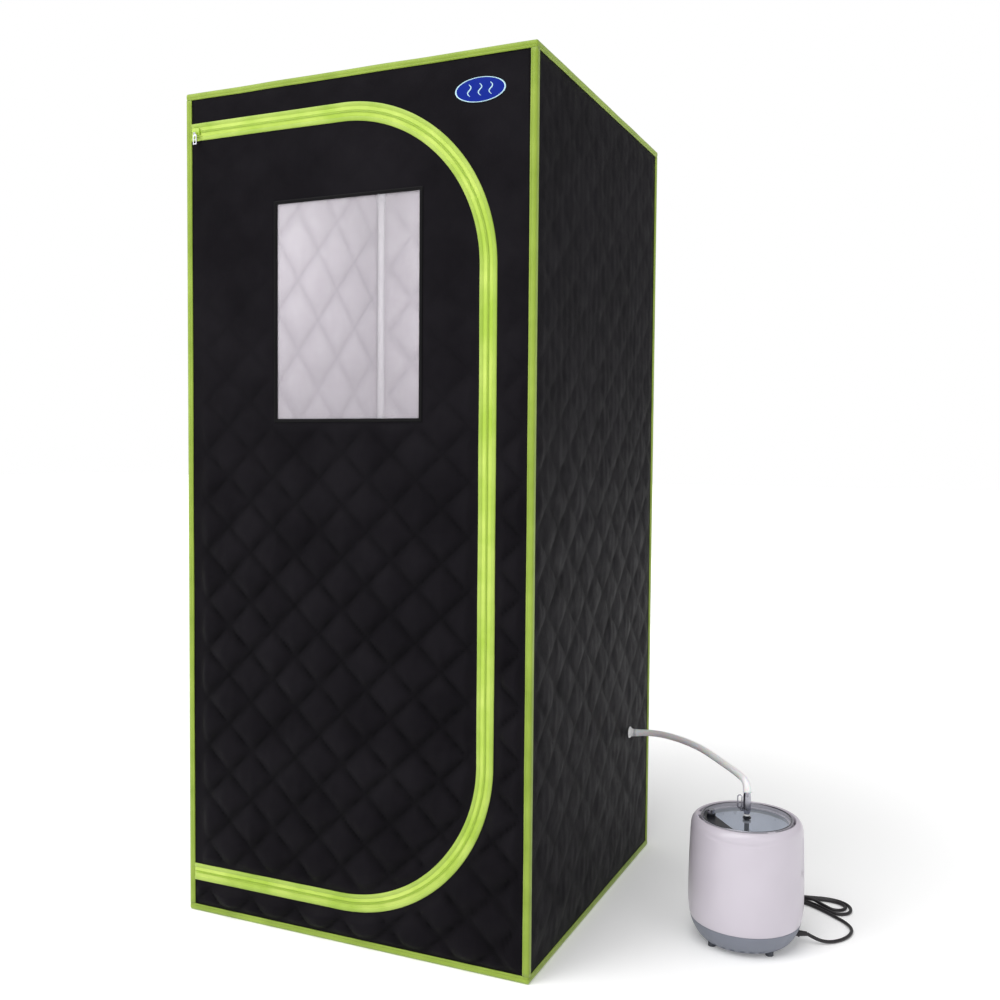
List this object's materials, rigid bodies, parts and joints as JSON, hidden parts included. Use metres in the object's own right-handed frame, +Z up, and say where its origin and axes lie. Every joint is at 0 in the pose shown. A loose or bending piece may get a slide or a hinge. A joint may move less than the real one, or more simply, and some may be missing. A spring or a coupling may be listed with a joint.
{
  "type": "portable steam sauna",
  "caption": "Tall square quilted fabric cabin on a tube frame with a zipped door, clear window, edge binding and a steam pot joined by a hose.",
  "frame": {"origin": "centre of the cabin's floor panel, on the ground", "axes": "+Z up, -Y out of the door, +X towards the steam pot"},
  "size_m": [1.3347, 0.8088, 1.75],
  "materials": {
    "quilted_cover": "satin",
    "edge_binding": "satin",
    "zip_tape": "satin",
    "zip_chain": "gloss",
    "zip_metal": "gloss",
    "pull_metal": "polished",
    "window_sheet": "clear",
    "window_edge": "satin",
    "badge_cloth": "woven",
    "frame_tube": "satin",
    "frame_socket": "satin",
    "white_plastic": "satin",
    "grey_plastic": "matte",
    "black_plastic": "satin",
    "clear_plastic": "clear",
    "tank_steel": "brushed",
    "heater_alloy": "cast",
    "chrome": "polished",
    "seal_rubber": "matte",
    "black_rubber": "matte",
    "hose_silicone": "satin",
    "screw_steel": "plain"
  },
  "bodies": {
    "cabin": {"front_panel": "quilted_cover", "left_panel": "quilted_cover", "right_panel": "quilted_cover", "rear_panel": "quilted_cover", "roof_panel": "quilted_cover", "floor_panel": "quilted_cover", "top_binding": "edge_binding", "bottom_binding": "edge_binding", "corner_bindings": "edge_binding", "zip_tape_frame": "zip_tape", "zip_teeth_frame": "zip_chain", "badge": "badge_cloth", "lower_upright_front_left": "frame_tube", "lower_upright_front_right": "frame_tube", "lower_upright_rear_left": "frame_tube", "lower_upright_rear_right": "frame_tube", "upper_upright_front_left": "frame_tube", "upper_upright_front_right": "frame_tube", "upper_upright_rear_left": "frame_tube", "upper_upright_rear_right": "frame_tube", "top_rails": "frame_tube", "bottom_rails": "frame_tube", "top_corner_connectors": "frame_socket", "bottom_corner_connectors": "frame_socket", "upright_sleeves": "frame_socket", "pot_housing": "white_plastic", "pot_rim": "white_plastic", "lid_catches": "white_plastic", "steam_port": "white_plastic", "port_backing_ring": "white_plastic", "pot_base": "grey_plastic", "thermal_cutout": "black_plastic", "terminal_block": "black_plastic", "power_plug": "black_plastic", "water_tank": "tank_steel", "heating_plate": "heater_alloy", "foot_screws": "screw_steel", "tank_seal": "seal_rubber", "pot_feet": "black_rubber", "cord_gland": "black_rubber", "power_cord": "black_rubber", "cord_hank": "black_rubber", "cord_tie": "black_rubber", "steam_hose": "hose_silicone"},
    "door": {"door_flap": "quilted_cover", "door_window": "window_sheet", "window_binding": "window_edge", "zip_tape_door": "zip_tape", "zip_teeth_door": "zip_chain"},
    "zip_slider": {"zip_slider": "zip_metal"},
    "zip_pull": {"zip_pull": "pull_metal"},
    "lid": {"clear_lid": "clear_plastic", "lid_segment": "black_plastic", "steam_nozzle": "black_plastic", "nozzle_nut": "screw_steel", "hose_connector": "chrome"},
    "lock_ring": {"lock_ring": "clear_plastic", "lock_lugs": "clear_plastic"},
    "valve_weight": {"valve_weight": "chrome"},
    "release_loop": {"release_loop": "chrome"}
  },
  "joints": [
    {"name": "door_hinge", "type": "hinge", "parent": "cabin", "child": "door", "pos_m": [-0.386, -0.4005, 0.875], "axis": [0, 0, -1], "range_deg": [0, 110]},
    {"name": "zip_slide", "type": "slide", "parent": "door", "child": "zip_slider", "axis": [1, 0, 0], "range_m": [0, 0.35]},
    {"name": "pull_swing", "type": "hinge", "parent": "zip_slider", "child": "zip_pull", "pos_m": [-0.371, -0.4066, 1.664], "axis": [-1, 0, 0], "range_deg": [0, 160]},
    {"name": "lid_lift", "type": "slide", "parent": "cabin", "child": "lid", "axis": [0, 0, 1], "range_m": [0, 0.08], "deforming": ["steam_hose"]},
    {"name": "lock_turn", "type": "hinge", "parent": "lid", "child": "lock_ring", "pos_m": [0.731, -0.029, 0.25], "axis": [0, 0, -1], "range_deg": [0, 25]},
    {"name": "valve_rise", "type": "slide", "parent": "lid", "child": "valve_weight", "axis": [0, 0, 1], "range_m": [0, 0.004]},
    {"name": "release_tilt", "type": "hinge", "parent": "lid", "child": "release_loop", "pos_m": [0.72022, -0.0338, 0.271], "axis": [0.4067, -0.9135, 0], "range_deg": [0, 70]}
  ]
}
